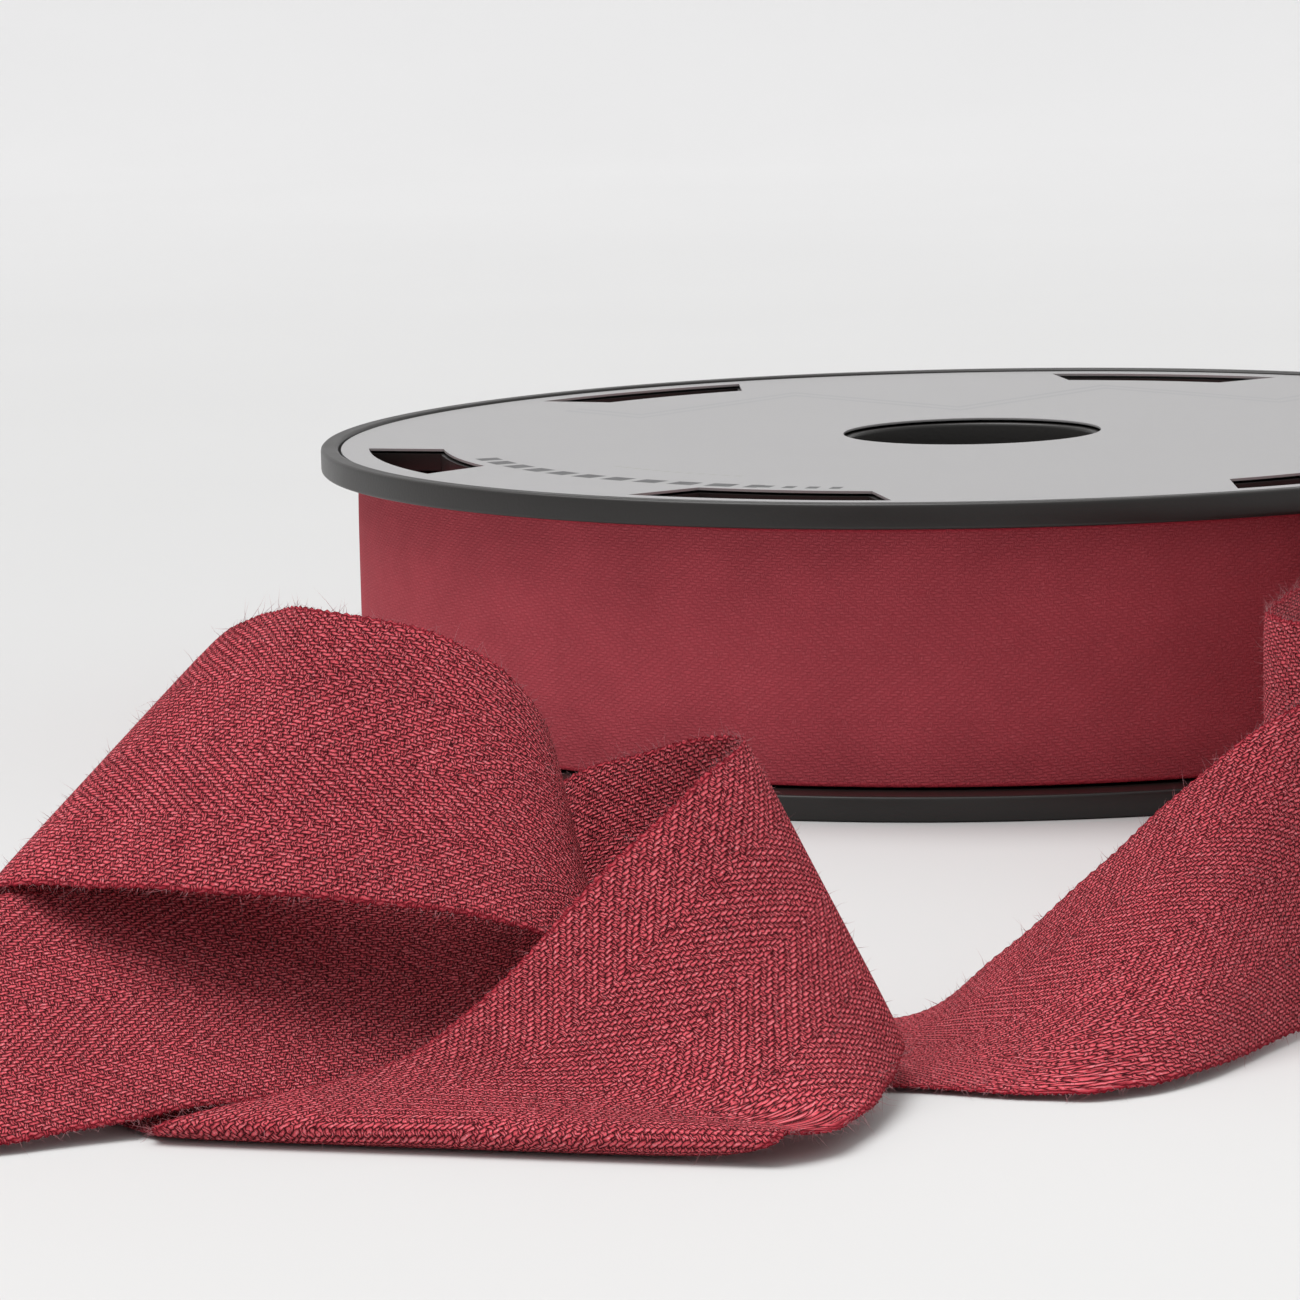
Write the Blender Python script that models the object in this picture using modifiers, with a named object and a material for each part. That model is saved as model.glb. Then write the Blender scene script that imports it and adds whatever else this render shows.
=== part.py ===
"""A plastic reel of herringbone cotton tape, with a loose length that lies folded over itself in front.

Metres, +Z up. The reel lies flat, its spindle axis upright, and both the reel and the tape rest at z = 0.
The reel is drawn round its own axis; the whole is then placed so that z = 0 under the middle of its box
is the origin.
"""

import math

import bmesh
import bpy
import numpy as np

# The tape
TAPE_WIDTH = 0.030
TAPE_THICKNESS = 0.0008
ROWS_BETWEEN_STATIONS = 4
COLUMNS_ACROSS = 2
CUT_GAP = 0.0003  # between the solids that the loose length is held in

# The reel
REEL_DIAMETER = 0.165
FLANGE_THICKNESS = 0.0030
RIM_WIDTH = 0.0022
LABEL_RECESS = 0.0009
BORE_DIAMETER = 0.031
SLEEVE_WALL = 0.0020
SLEEVE_HEIGHT = 0.0080
SPIGOT_WALL = 0.0022
SPIGOT_HEIGHT = 0.0060
HUB_DIAMETER = 0.052
HUB_WALL = 0.0025
COIL_DIAMETER = REEL_DIAMETER - 0.009
LABEL_THICKNESS = 0.0003
LABEL_INSET = 0.0008  # from the bore's edge

# The windows, in mirrored pairs about one diameter of the flange
WINDOW_OUTER_RADIUS = REEL_DIAMETER / 2 - 0.0065
WINDOW_INNER_RADIUS = WINDOW_OUTER_RADIUS - 0.0085
WINDOW_SPAN = math.radians(24)
WINDOW_END_SLANT = math.radians(3)
WINDOW_OFFSETS = (math.radians(27.5), math.radians(80), math.radians(151))
WINDOW_MIRROR_LINE = math.radians(-85)
WINDOW_MARGIN = 0.0004  # the label is cut this much wider than the flange

CLEARANCE = 0.0003
EDGE_BEVEL = 0.0004
ROUND_STEPS = 64

REEL_RADIUS = REEL_DIAMETER / 2
REEL_HEIGHT = TAPE_WIDTH + 2 * (FLANGE_THICKNESS + CLEARANCE)
TAPE_BOTTOM = FLANGE_THICKNESS + CLEARANCE
TAPE_TOP = TAPE_BOTTOM + TAPE_WIDTH
OUTER_TURN_RADIUS = COIL_DIAMETER / 2 + CLEARANCE + TAPE_THICKNESS / 2
OUTER_TURN_ANGLES = (-40, -34, -28, -22)  # degrees from +X, where the last turn lies on the coil

# Where the middle of the tape lies, in millimetres round the spindle, for a tape DRAWN_WIDTH wide that meets
# the coil at DRAWN_CONTACT, DRAWN_BOTTOM above the table. Each station is a straight line across the tape: its
# ends on the one selvedge and on the other. They run from the cut end to the reel.
DRAWN_WIDTH = 30.0
DRAWN_CONTACT = (60.3, -50.6)
DRAWN_BOTTOM = 3.3
LIFT_STARTS, LIFT_ENDS = 46, 52  # the stations between which the tape comes up to the height of the coil
LOOSE_STATIONS = (
    ((-134.4, -257.1, 0.6), (-147.8, -230, 6.6)),
    ((-102.2, -243.4, 0.9), (-112.3, -217.1, 16.8)),
    ((-89.5, -237.4, 1.6), (-96.6, -210, 17.6)),
    ((-81.1, -234.1, 2.3), (-86.1, -205.5, 17.3)),
    ((-70.6, -231.7, 2.4), (-74.4, -202.9, 16.7)),
    ((-59.1, -230.9, 2.6), (-63.9, -203.3, 16.2)),
    ((-49.7, -230.2, 4.2), (-55.5, -204, 17.7)),
    ((-45.4, -229.4, 8.4), (-51.4, -203.9, 23.3)),
    ((-46.9, -229, 12.4), (-51, -204.1, 29.9)),
    ((-53.6, -227.8, 16.4), (-54.6, -204.9, 35.8)),
    ((-65, -226.6, 18.4), (-61.2, -206.1, 40)),
    ((-76.5, -224, 19.1), (-72.1, -204.7, 42.4)),
    ((-91.3, -218.5, 19.3), (-76.3, -198.7, 40.7)),
    ((-102.9, -210.8, 18.7), (-80.9, -196.8, 38.5)),
    ((-105.6, -206, 16), (-85.7, -185.7, 32.5)),
    ((-108.4, -203.2, 12), (-88.6, -181.3, 24.1)),
    ((-109, -203, 6.8), (-87.5, -181.4, 13.8)),
    ((-106.3, -208.5, 2.4), (-81.9, -187.9, 4.5)),
    ((-101.6, -215.1, 0.7), (-73.1, -199, 0.6)),
    ((-95.3, -224.1, 0.6), (-59.1, -219.5, 0.6)),
    ((-90, -231.9, 0.6), (-46.7, -237.3, 0.6)),
    ((-86.1, -237.5, 0.6), (-38.4, -249.9, 0.6)),
    ((-85.8, -239.3, 1.7), (-32.8, -253.9, 1.7)),
    ((-81.1, -238.6, 2.9), (-30.7, -253, 2.8)),
    ((-66.3, -235.7, 5.6), (-28.6, -251.7, 2.4)),
    ((-57.9, -234.2, 10.5), (-26, -248.5, 2.2)),
    ((-46.5, -227.7, 20.9), (-23.1, -240.9, 2.3)),
    ((-36.9, -221, 28.6), (-20.8, -231.8, 3)),
    ((-33.3, -215.8, 30.9), (-19.6, -222.1, 4)),
    ((-36, -209.9, 30.4), (-22.8, -216.2, 3.6)),
    ((-41.8, -202, 28), (-32.1, -216.7, 3.2)),
    ((-48.9, -194.7, 24.7), (-42.4, -217, 2.9)),
    ((-56.5, -187.1, 18), (-50.7, -215, 2.9)),
    ((-61.4, -183.3, 9.5), (-55.4, -212.6, 1.8)),
    ((-57.8, -183.6, 2.4), (-51.8, -214.2, 0.7)),
    ((-47.5, -187.3, 0.6), (-41.4, -219, 0.6)),
    ((-34.1, -191.4, 0.6), (-31.1, -222.7, 0.6)),
    ((-18, -194.9, 0.7), (-19.6, -225.6, 0.6)),
    ((-9.4, -198.6, 7.2), (-8.7, -229.9, 0.6)),
    ((0.1, -199.6, 15.6), (-1.5, -230.7, 0.9)),
    ((9.9, -196.8, 23.6), (7.1, -224.1, 1)),
    ((19.7, -193.3, 29.6), (18.1, -206.3, 0.8)),
    ((29.7, -184.4, 30.4), (30.3, -191, 0.6)),
    ((37.6, -173, 30.5), (38.4, -176.9, 0.6)),
    ((39.9, -159.9, 30.5), (40.4, -161.3, 0.6)),
    ((33.8, -149, 30.5), (33.9, -149.2, 0.6)),
    ((25.7, -142.8, 30.5), (25.5, -142.7, 0.6)),
    ((22.9, -135.1, 30.5), (22.8, -135, 0.6)),
    ((25.5, -125, 30.6), (25.5, -125, 0.7)),
    ((30, -112, 30.8), (30, -112, 0.9)),
    ((34.5, -99, 30.9), (34.5, -99, 1)),
    ((38.4, -87, 31.6), (38.4, -87, 1.6)),
    ((43.8, -75.2, 32.6), (43.8, -75.2, 2.6)),
    ((49.3, -66.5, 33.3), (49.3, -66.5, 3.3)),
    ((55.2, -58, 33.3), (55.2, -58, 3.3)),
)

# The loose length in simple solids: name, first and last station
TAPE_PIECES = (
    ("tape_cut_end", 0, 2),
    ("tape_lower_sheet", 2, 5),
    ("tape_crown_turn", 5, 9),
    ("tape_crown", 9, 13),
    ("tape_left_fold", 13, 16),
    ("tape_rise", 16, 18),
    ("tape_under_run", 18, 21),
    ("tape_front_roll", 21, 23),
    ("tape_front_sheet", 23, 26),
    ("tape_right_bend", 26, 29),
    ("tape_back_sheet", 29, 32),
    ("tape_hairpin", 32, 35),
    ("tape_flat_run", 35, 37),
    ("tape_rising_run", 37, 40),
    ("tape_upright_run", 40, 43),
    ("tape_first_curl", 43, 46),
    ("tape_second_curl", 46, 49),
    ("tape_approach", 49, 52),
    ("tape_outer_turn", 52, 58),
)


def remove_everything():
    for obj in list(bpy.data.objects):
        bpy.data.objects.remove(obj, do_unlink=True)


def new_collection(name):
    collection = bpy.data.collections.new(name)
    bpy.context.scene.collection.children.link(collection)
    return collection


def new_material(name, colour, roughness, metallic=0.0):
    material = bpy.data.materials.new(name)
    material.use_nodes = True
    shader = material.node_tree.nodes["Principled BSDF"]
    shader.inputs["Base Color"].default_value = (*colour, 1.0)
    shader.inputs["Roughness"].default_value = roughness
    shader.inputs["Metallic"].default_value = metallic
    return material


def new_object(name, mesh, collection, material=None):
    obj = bpy.data.objects.new(name, mesh)
    collection.objects.link(obj)
    if material:
        mesh.materials.append(material)
    return obj


def turned(name, profile, collection, material):
    """A closed outline of (radius, height) points, outer side downwards first, turned round the spindle."""
    mesh = bpy.data.meshes.new(name)
    points = [(radius, 0.0, height) for radius, height in profile]
    edges = [(i, (i + 1) % len(points)) for i in range(len(points))]
    mesh.from_pydata(points, edges, [])
    obj = new_object(name, mesh, collection, material)
    screw = obj.modifiers.new("turn", "SCREW")
    screw.steps = screw.render_steps = ROUND_STEPS
    screw.use_merge_vertices = True
    screw.merge_threshold = 1e-5
    screw.use_smooth_shade = True
    return obj


def ring_profile(inner, outer, low, high, bevel=0.0):
    """A rectangle with its four corners cut, running down the outer side first."""
    if bevel == 0.0:
        return [(outer, high), (outer, low), (inner, low), (inner, high)]
    return [
        (outer - bevel, high), (outer, high - bevel), (outer, low + bevel), (outer - bevel, low),
        (inner + bevel, low), (inner, low + bevel), (inner, high - bevel), (inner + bevel, high),
    ]


def flange_profile():
    """The lower flange: rim, recessed web, spigot that centres the hub tube, and sleeve of the bore."""
    bore = BORE_DIAMETER / 2
    sleeve = bore + SLEEVE_WALL
    spigot_outer = HUB_DIAMETER / 2 - HUB_WALL - CLEARANCE
    spigot_inner = spigot_outer - SPIGOT_WALL
    rim_inner = REEL_RADIUS - RIM_WIDTH
    inside = FLANGE_THICKNESS
    return [
        (REEL_RADIUS - EDGE_BEVEL, inside), (REEL_RADIUS, inside - EDGE_BEVEL),
        (REEL_RADIUS, EDGE_BEVEL), (REEL_RADIUS - EDGE_BEVEL, 0.0),
        (rim_inner + EDGE_BEVEL, 0.0), (rim_inner, EDGE_BEVEL), (rim_inner, LABEL_RECESS),
        (bore, LABEL_RECESS), (bore, inside + SLEEVE_HEIGHT), (sleeve, inside + SLEEVE_HEIGHT), (sleeve, inside),
        (spigot_inner, inside), (spigot_inner, inside + SPIGOT_HEIGHT),
        (spigot_outer, inside + SPIGOT_HEIGHT), (spigot_outer, inside),
    ]


def flipped(profile):
    """The same outline turned upside down on the other side of the reel, still outer side downwards."""
    return [(radius, REEL_HEIGHT - height) for radius, height in reversed(profile)]


def window_angles():
    return [WINDOW_MIRROR_LINE + side * offset for offset in WINDOW_OFFSETS for side in (-1, 1)]


def window_outline(margin):
    """An arc-shaped slot round angle 0: the outer arc is a little longer, so its ends slant."""
    inner, outer = WINDOW_INNER_RADIUS - margin, WINDOW_OUTER_RADIUS + margin
    half = WINDOW_SPAN / 2 + margin / WINDOW_OUTER_RADIUS
    wide = np.linspace(-half, half, 13)
    narrow = np.linspace(half - WINDOW_END_SLANT, WINDOW_END_SLANT - half, 13)
    arcs = [(outer * np.cos(wide), outer * np.sin(wide)), (inner * np.cos(narrow), inner * np.sin(narrow))]
    return np.concatenate([np.stack(arc, axis=1) for arc in arcs])


def window_cutter(name, low, high, margin, collection):
    """One mesh of all the window prisms, which don't touch each other."""
    shape = bmesh.new()
    outline = window_outline(margin)
    for angle in window_angles():
        turn = np.array([[math.cos(angle), math.sin(angle)], [-math.sin(angle), math.cos(angle)]])
        corners = [shape.verts.new((x, y, low)) for x, y in outline @ turn]
        base = shape.faces.new(corners)
        raised = bmesh.ops.extrude_face_region(shape, geom=[base])["geom"]
        top = [item for item in raised if isinstance(item, bmesh.types.BMVert)]
        bmesh.ops.translate(shape, verts=top, vec=(0, 0, high - low))
    bmesh.ops.recalc_face_normals(shape, faces=shape.faces)
    mesh = bpy.data.meshes.new(name)
    shape.to_mesh(mesh)
    shape.free()
    obj = new_object(name, mesh, collection)
    obj.hide_render = True
    obj.display_type = "WIRE"
    return obj


def cut(obj, cutter):
    modifier = obj.modifiers.new("windows", "BOOLEAN")
    modifier.operation = "DIFFERENCE"
    modifier.solver = "EXACT"
    modifier.object = cutter


def make_reel(parts, cutters):
    plastic = new_material("reel_plastic", (0.028, 0.028, 0.030), 0.42)
    card = new_material("label_paper", (0.52, 0.52, 0.53), 0.38)
    cotton = new_material("wound_cotton", (0.33, 0.035, 0.055), 0.9)
    below = flange_profile()
    flanges = [
        turned("bottom_flange", below, parts, plastic),
        turned("top_flange", flipped(below), parts, plastic),
    ]
    flange_cutter = window_cutter("window_cutter", -CUT_GAP, REEL_HEIGHT + CUT_GAP, 0.0, cutters)
    for flange in flanges:
        cut(flange, flange_cutter)
    hub = HUB_DIAMETER / 2
    turned("hub_tube", ring_profile(hub - HUB_WALL, hub, TAPE_BOTTOM, TAPE_TOP), parts, plastic)
    coil = ring_profile(hub + CLEARANCE, COIL_DIAMETER / 2, TAPE_BOTTOM, TAPE_TOP)
    turned("wound_tape", coil, parts, cotton)
    label_low = REEL_HEIGHT - LABEL_RECESS + CLEARANCE
    inner = BORE_DIAMETER / 2 + LABEL_INSET
    outer = REEL_RADIUS - RIM_WIDTH - CLEARANCE
    label = ring_profile(inner, outer, label_low, label_low + LABEL_THICKNESS)
    label = turned("top_label", label, parts, card)
    cut(label, window_cutter("label_cutter", label_low - CUT_GAP, REEL_HEIGHT, WINDOW_MARGIN, cutters))


def smooth_rows(stations):
    """Catmull-Rom curves through the stations' ends: the rows across the tape, as (rows, 2 ends, xyz)."""
    ends = np.asarray(stations, float)
    ends = np.concatenate([2 * ends[:1] - ends[1:2], ends, 2 * ends[-1:] - ends[-2:-1]])
    t = (np.arange(ROWS_BETWEEN_STATIONS) / ROWS_BETWEEN_STATIONS)[None, :, None, None]
    a, b, c, d = (ends[i : len(ends) - 3 + i, None] for i in range(4))
    rows = 0.5 * (2 * b + (c - a) * t + (2 * a - 5 * b + 4 * c - d) * t**2 + (3 * b - a - 3 * c + d) * t**3)
    return np.concatenate([rows.reshape(-1, 2, 3), ends[None, -2]])


def tape_stations():
    """The loose stations, then upright ones on the coil's last turn."""
    angles = np.radians(OUTER_TURN_ANGLES)
    turn = np.stack([np.cos(angles), np.sin(angles)], axis=1) * OUTER_TURN_RADIUS
    scale = TAPE_WIDTH / DRAWN_WIDTH
    loose = np.asarray(LOOSE_STATIONS, float) * scale
    loose[:, :, :2] += turn[0] - np.asarray(DRAWN_CONTACT) * scale
    risen = np.clip((np.arange(len(loose)) - LIFT_STARTS) / (LIFT_ENDS - LIFT_STARTS), 0, 1)
    loose[:, :, 2] += risen[:, None] * (TAPE_BOTTOM - DRAWN_BOTTOM * scale)
    on_coil = [[(x, y, TAPE_TOP), (x, y, TAPE_BOTTOM)] for x, y in turn]
    return np.concatenate([loose, np.asarray(on_coil)])


def tape_surface():
    """The tape's middle surface as a grid of points, and the unit normal at each."""
    rows = smooth_rows(tape_stations())
    rows[:, :, 2] = np.maximum(rows[:, :, 2], TAPE_THICKNESS / 2)  # it lies on the table
    across = np.linspace(0, 1, COLUMNS_ACROSS + 1)[None, :, None]
    points = rows[:, :1] * (1 - across) + rows[:, 1:] * across
    normals = np.cross(np.gradient(points, axis=0), np.gradient(points, axis=1))
    return points, normals / np.linalg.norm(normals, axis=2, keepdims=True)


def drawn_in(points):
    """The first and last rows of a piece moved inwards by half of the gap at a cut."""
    points = points.copy()
    for edge, beside in ((0, 1), (-1, -2)):
        step = points[beside] - points[edge]
        length = np.linalg.norm(step, axis=1, keepdims=True)
        points[edge] += step * np.minimum(0.5, CUT_GAP / 2 / np.maximum(length, 1e-6))
    return points


def grid_faces(rows, columns):
    """Quads between neighbouring points of a grid that is stored row by row."""
    first = (np.arange(rows - 1)[:, None] * columns + np.arange(columns - 1)).reshape(-1)
    return np.stack([first, first + 1, first + columns + 1, first + columns], axis=1)


def edge_walls(rows, columns):
    """Quads between the two skins, which are stored one after the other, round the edge of the grid."""
    index = np.arange(rows * columns).reshape(rows, columns)
    loop = np.concatenate([index[0, :-1], index[:-1, -1], index[-1, :0:-1], index[:0:-1, 0]])
    after = np.roll(loop, -1)
    return np.stack([after, loop, loop + rows * columns, after + rows * columns], axis=1)


def tape_piece(name, points, normals, collection, material):
    """A loft along the tape: one skin on each side of the middle surface, closed round the edge."""
    points = drawn_in(points)
    rows, columns = points.shape[:2]
    half = normals * TAPE_THICKNESS / 2
    skins = np.concatenate([(points + half).reshape(-1, 3), (points - half).reshape(-1, 3)])
    upper = grid_faces(rows, columns)
    faces = np.concatenate([upper[:, ::-1], upper + rows * columns, edge_walls(rows, columns)[:, ::-1]])
    mesh = bpy.data.meshes.new(name)
    mesh.from_pydata(skins.tolist(), [], faces.tolist())
    mesh.shade_smooth()
    shape = bmesh.new()
    shape.from_mesh(mesh)
    bmesh.ops.recalc_face_normals(shape, faces=shape.faces)
    shape.to_mesh(mesh)
    shape.free()
    return new_object(name, mesh, collection, material)


def make_loose_tape(parts):
    cotton = new_material("loose_cotton", (0.40, 0.050, 0.075), 0.9)
    points, normals = tape_surface()
    last_row = len(points) - 1
    for name, first, last in TAPE_PIECES:
        start = first * ROWS_BETWEEN_STATIONS
        end = min(last * ROWS_BETWEEN_STATIONS, last_row)
        tape_piece(name, points[start : end + 1], normals[start : end + 1], parts, cotton)


def place_on_origin(parts, cutters):
    """Hangs everything on one empty, moved so that the middle of the parts' whole box is over the origin."""
    bpy.context.view_layer.update()
    graph = bpy.context.evaluated_depsgraph_get()
    corners = np.concatenate([np.array(obj.evaluated_get(graph).bound_box) for obj in parts.objects])
    middle = (corners.min(axis=0) + corners.max(axis=0)) / 2
    spindle = bpy.data.objects.new("spindle_axis", None)
    for obj in (*parts.objects, *cutters.objects):
        obj.parent = spindle
    parts.objects.link(spindle)
    spindle.location = (-middle[0], -middle[1], 0.0)


def main():
    remove_everything()
    parts = new_collection("herringbone_tape_reel")
    cutters = new_collection("cutters")
    make_reel(parts, cutters)
    make_loose_tape(parts)
    place_on_origin(parts, cutters)


main()
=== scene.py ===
"""The looks of a reel of herringbone cotton tape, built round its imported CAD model.

Metres, +Z up, in the CAD model's own frame. A surface is a grid of points worked out with numpy, as a
function of one parameter along it and one across it. The weave is drawn on UV maps that hold the distance
along and across the tape in metres.
"""

import math

import bpy
import numpy as np
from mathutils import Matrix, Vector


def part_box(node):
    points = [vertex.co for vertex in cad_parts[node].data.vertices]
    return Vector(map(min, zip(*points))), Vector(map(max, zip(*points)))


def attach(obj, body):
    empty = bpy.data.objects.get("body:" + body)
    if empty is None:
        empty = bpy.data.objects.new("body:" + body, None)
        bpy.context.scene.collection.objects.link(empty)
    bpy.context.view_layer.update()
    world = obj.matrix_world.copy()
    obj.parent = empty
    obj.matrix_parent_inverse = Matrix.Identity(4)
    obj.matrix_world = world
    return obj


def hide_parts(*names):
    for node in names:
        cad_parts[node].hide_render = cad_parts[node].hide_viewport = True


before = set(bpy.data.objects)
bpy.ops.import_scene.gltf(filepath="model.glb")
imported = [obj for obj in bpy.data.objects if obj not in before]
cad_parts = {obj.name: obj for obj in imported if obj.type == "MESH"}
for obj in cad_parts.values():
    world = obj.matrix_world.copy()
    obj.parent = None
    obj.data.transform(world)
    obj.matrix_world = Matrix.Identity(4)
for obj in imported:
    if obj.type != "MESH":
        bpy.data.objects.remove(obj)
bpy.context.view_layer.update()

MM = 0.001

# ---------------------------------------------------------------- sizes, in metres

TAPE_WIDTH = 30 * MM
TAPE_THICKNESS = 0.8 * MM
REEL_HEIGHT = float(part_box("top_flange")[1][2])
REEL_RADIUS = float(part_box("top_flange")[1][0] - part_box("top_flange")[0][0]) / 2
SPINDLE = (np.array(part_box("bottom_flange")[0]) + np.array(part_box("bottom_flange")[1]))[:2] / 2
FLANGE = 3.0 * MM
RIM_WIDTH = 2.2 * MM
LABEL_RECESS = 0.9 * MM
BORE_RADIUS = 15.5 * MM
SLEEVE_WALL = 2.0 * MM
SLEEVE_HEIGHT = 8.0 * MM
SPIGOT_HEIGHT = 6.0 * MM
SPIGOT_WALL = 2.2 * MM
HUB_RADIUS = 26.0 * MM
HUB_WALL = 2.5 * MM
HUB_PLAY = 0.3 * MM  # on both sides of the hub tube's wall
COIL_RADIUS = 78.0 * MM
COIL_EDGE = 0.3 * MM  # how far its outer and inner sides stop short of its top and bottom
COIL_BELLY = 0.15 * MM
RIDGE_HEIGHT = 0.22 * MM  # of a selvedge on the coil's top
RIDGE_UNEVENNESS = 0.10 * MM
TAPE_BOTTOM = 3.3 * MM
TAPE_TOP = TAPE_BOTTOM + TAPE_WIDTH
LABEL_TOP = REEL_HEIGHT - 0.3 * MM
LABEL_THICKNESS = 0.3 * MM
LABEL_RIM_GAP = 0.35 * MM
LABEL_BORE_GAP = 0.8 * MM
LABEL_WINDOW_GAP = 0.4 * MM

FLANGE_CORNER = 0.45 * MM
HUB_CORNER = 0.3 * MM
LABEL_CORNER = 0.06 * MM
REEL_STEPS = 288  # round the spindle
HUB_STEPS = 128
COIL_STEPS = 256
COIL_SEAM = math.radians(-30)  # where its UV map starts, under the loose tape's last turn
SHARP_ANGLE = math.radians(38)  # edges steeper than this aren't smoothed
LEVEL = 0.999  # a face whose normal is this upright is shaded flat

# The windows of the flanges: their middle angles from +X, in degrees, and the ring that they lie in
WINDOW_ANGLES = (-112.5, -57.5, -165, -5, 124, 66)
WINDOW_RING = (67.5 * MM, 76.0 * MM)
WINDOW_SPAN = math.radians(24)
WINDOW_SLANT = math.radians(3)
WINDOW_ARC_POINTS = 25

# The weave, in millimetres: the warp yarns' pitch across the tape, the picks' pitch along it, the zones, and
# how far the yarns stray. The selvedge starts and is fully coloured at these distances from the middle.
WARP_PITCH = 0.335
PICK_PITCH = 0.50
ZONE_WIDTH = 7.5
WARP_STRAY = 0.32
PICK_STRAY = 0.6
SELVEDGE = (14.3, 14.8)

# Where the middle of the tape lies, in millimetres round the spindle: each station is a straight line across
# the tape, given by its ends on the one selvedge and on the other, from the cut end to the reel.
LOOSE_STATIONS = (
    ((-134.4, -257.1, 0.6), (-147.8, -230, 6.6)),
    ((-102.2, -243.4, 0.9), (-112.3, -217.1, 16.8)),
    ((-89.5, -237.4, 1.6), (-96.6, -210, 17.6)),
    ((-81.1, -234.1, 2.3), (-86.1, -205.5, 17.3)),
    ((-70.6, -231.7, 2.4), (-74.4, -202.9, 16.7)),
    ((-59.1, -230.9, 2.6), (-63.9, -203.3, 16.2)),
    ((-49.7, -230.2, 4.2), (-55.5, -204, 17.7)),
    ((-45.4, -229.4, 8.4), (-51.4, -203.9, 23.3)),
    ((-46.9, -229, 12.4), (-51, -204.1, 29.9)),
    ((-53.6, -227.8, 16.4), (-54.6, -204.9, 35.8)),
    ((-65, -226.6, 18.4), (-61.2, -206.1, 40)),
    ((-76.5, -224, 19.1), (-72.1, -204.7, 42.4)),
    ((-91, -218.5, 19.2), (-77.0, -198.7, 41.3)),
    ((-101.7, -210.8, 18.2), (-81.4, -196.8, 39.1)),
    ((-104.3, -206, 15.4), (-85.7, -185.7, 32.5)),
    ((-108.4, -203.2, 12), (-88.6, -181.3, 24.1)),
    ((-109, -203, 6.8), (-87.5, -181.4, 13.8)),
    ((-106.3, -208.5, 2.4), (-81.9, -187.9, 4.5)),
    ((-101.6, -215.1, 0.7), (-73.1, -199, 0.6)),
    ((-95.3, -224.1, 0.6), (-59.1, -219.5, 0.6)),
    ((-90, -231.9, 0.6), (-46.7, -237.3, 0.6)),
    ((-86.1, -237.5, 0.6), (-38.4, -249.9, 0.6)),
    ((-85.8, -239.3, 1.7), (-32.8, -253.9, 1.7)),
    ((-81.1, -238.6, 2.9), (-30.7, -253, 2.8)),
    ((-66.3, -235.7, 5.6), (-28.6, -251.7, 2.4)),
    ((-57.9, -234.2, 10.5), (-26, -248.5, 2.2)),
    ((-46.5, -227.7, 20.9), (-23.1, -240.9, 2.3)),
    ((-36.9, -221, 28.6), (-20.8, -231.8, 3)),
    ((-33.3, -215.8, 30.9), (-19.6, -222.1, 4)),
    ((-36, -209.9, 30.4), (-22.8, -216.2, 3.6)),
    ((-41.8, -202, 28), (-32.1, -216.7, 3.2)),
    ((-48.9, -194.7, 24.7), (-42.4, -217, 2.9)),
    ((-56.5, -187.1, 18), (-50.7, -215, 2.9)),
    ((-61.4, -183.3, 9.5), (-55.4, -212.6, 1.8)),
    ((-57.8, -183.6, 2.4), (-51.8, -214.2, 0.7)),
    ((-47.5, -187.3, 0.6), (-41.4, -219, 0.6)),
    ((-34.1, -191.4, 0.6), (-31.1, -222.7, 0.6)),
    ((-18, -194.9, 0.7), (-19.6, -225.6, 0.6)),
    ((-9.4, -198.6, 7.2), (-8.7, -229.9, 0.6)),
    ((0.1, -199.6, 15.6), (-1.5, -230.7, 0.9)),
    ((9.9, -196.8, 23.6), (7.1, -224.1, 1)),
    ((19.7, -193.3, 29.6), (18.1, -206.3, 0.8)),
    ((29.7, -184.4, 30.4), (30.3, -191, 0.6)),
    ((37.6, -173, 30.5), (38.4, -176.9, 0.6)),
    ((39.9, -159.9, 30.5), (40.4, -161.3, 0.6)),
    ((33.8, -149, 30.5), (33.9, -149.2, 0.6)),
    ((25.7, -142.8, 30.5), (25.5, -142.7, 0.6)),
    ((22.9, -135.1, 30.5), (22.8, -135, 0.6)),
    ((25.5, -125, 30.6), (25.5, -125, 0.7)),
    ((30, -112, 30.8), (30, -112, 0.9)),
    ((34.5, -99, 30.9), (34.5, -99, 1)),
    ((38.4, -87, 31.6), (38.4, -87, 1.6)),
    ((43.8, -75.2, 32.6), (43.8, -75.2, 2.6)),
    ((49.3, -66.5, 33.3), (49.3, -66.5, 3.3)),
    ((55.2, -58, 33.3), (55.2, -58, 3.3)),
)
OUTER_TURN_RADIUS = COIL_RADIUS + 0.7 * MM
OUTER_TURN_ANGLES = (-40, -34, -28, -22)  # degrees from +X, where the last turn lies on the coil

ROWS_BETWEEN_STATIONS = 40
ROW_STEP = 0.4 * MM
ROW_SPREAD = 1.6  # rows that the route is softened over
LEAD_SPREAD = 12  # rows that the slant of the picks is softened over
CORNERS_PER_SKIN = 15
TAPER_LENGTH = 9 * MM  # at the coil
TAPER_END = 0.12  # of the full thickness
BEAD_SWELL = 0.12 * MM
SELVEDGE_WAVE = 0.10 * MM

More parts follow.
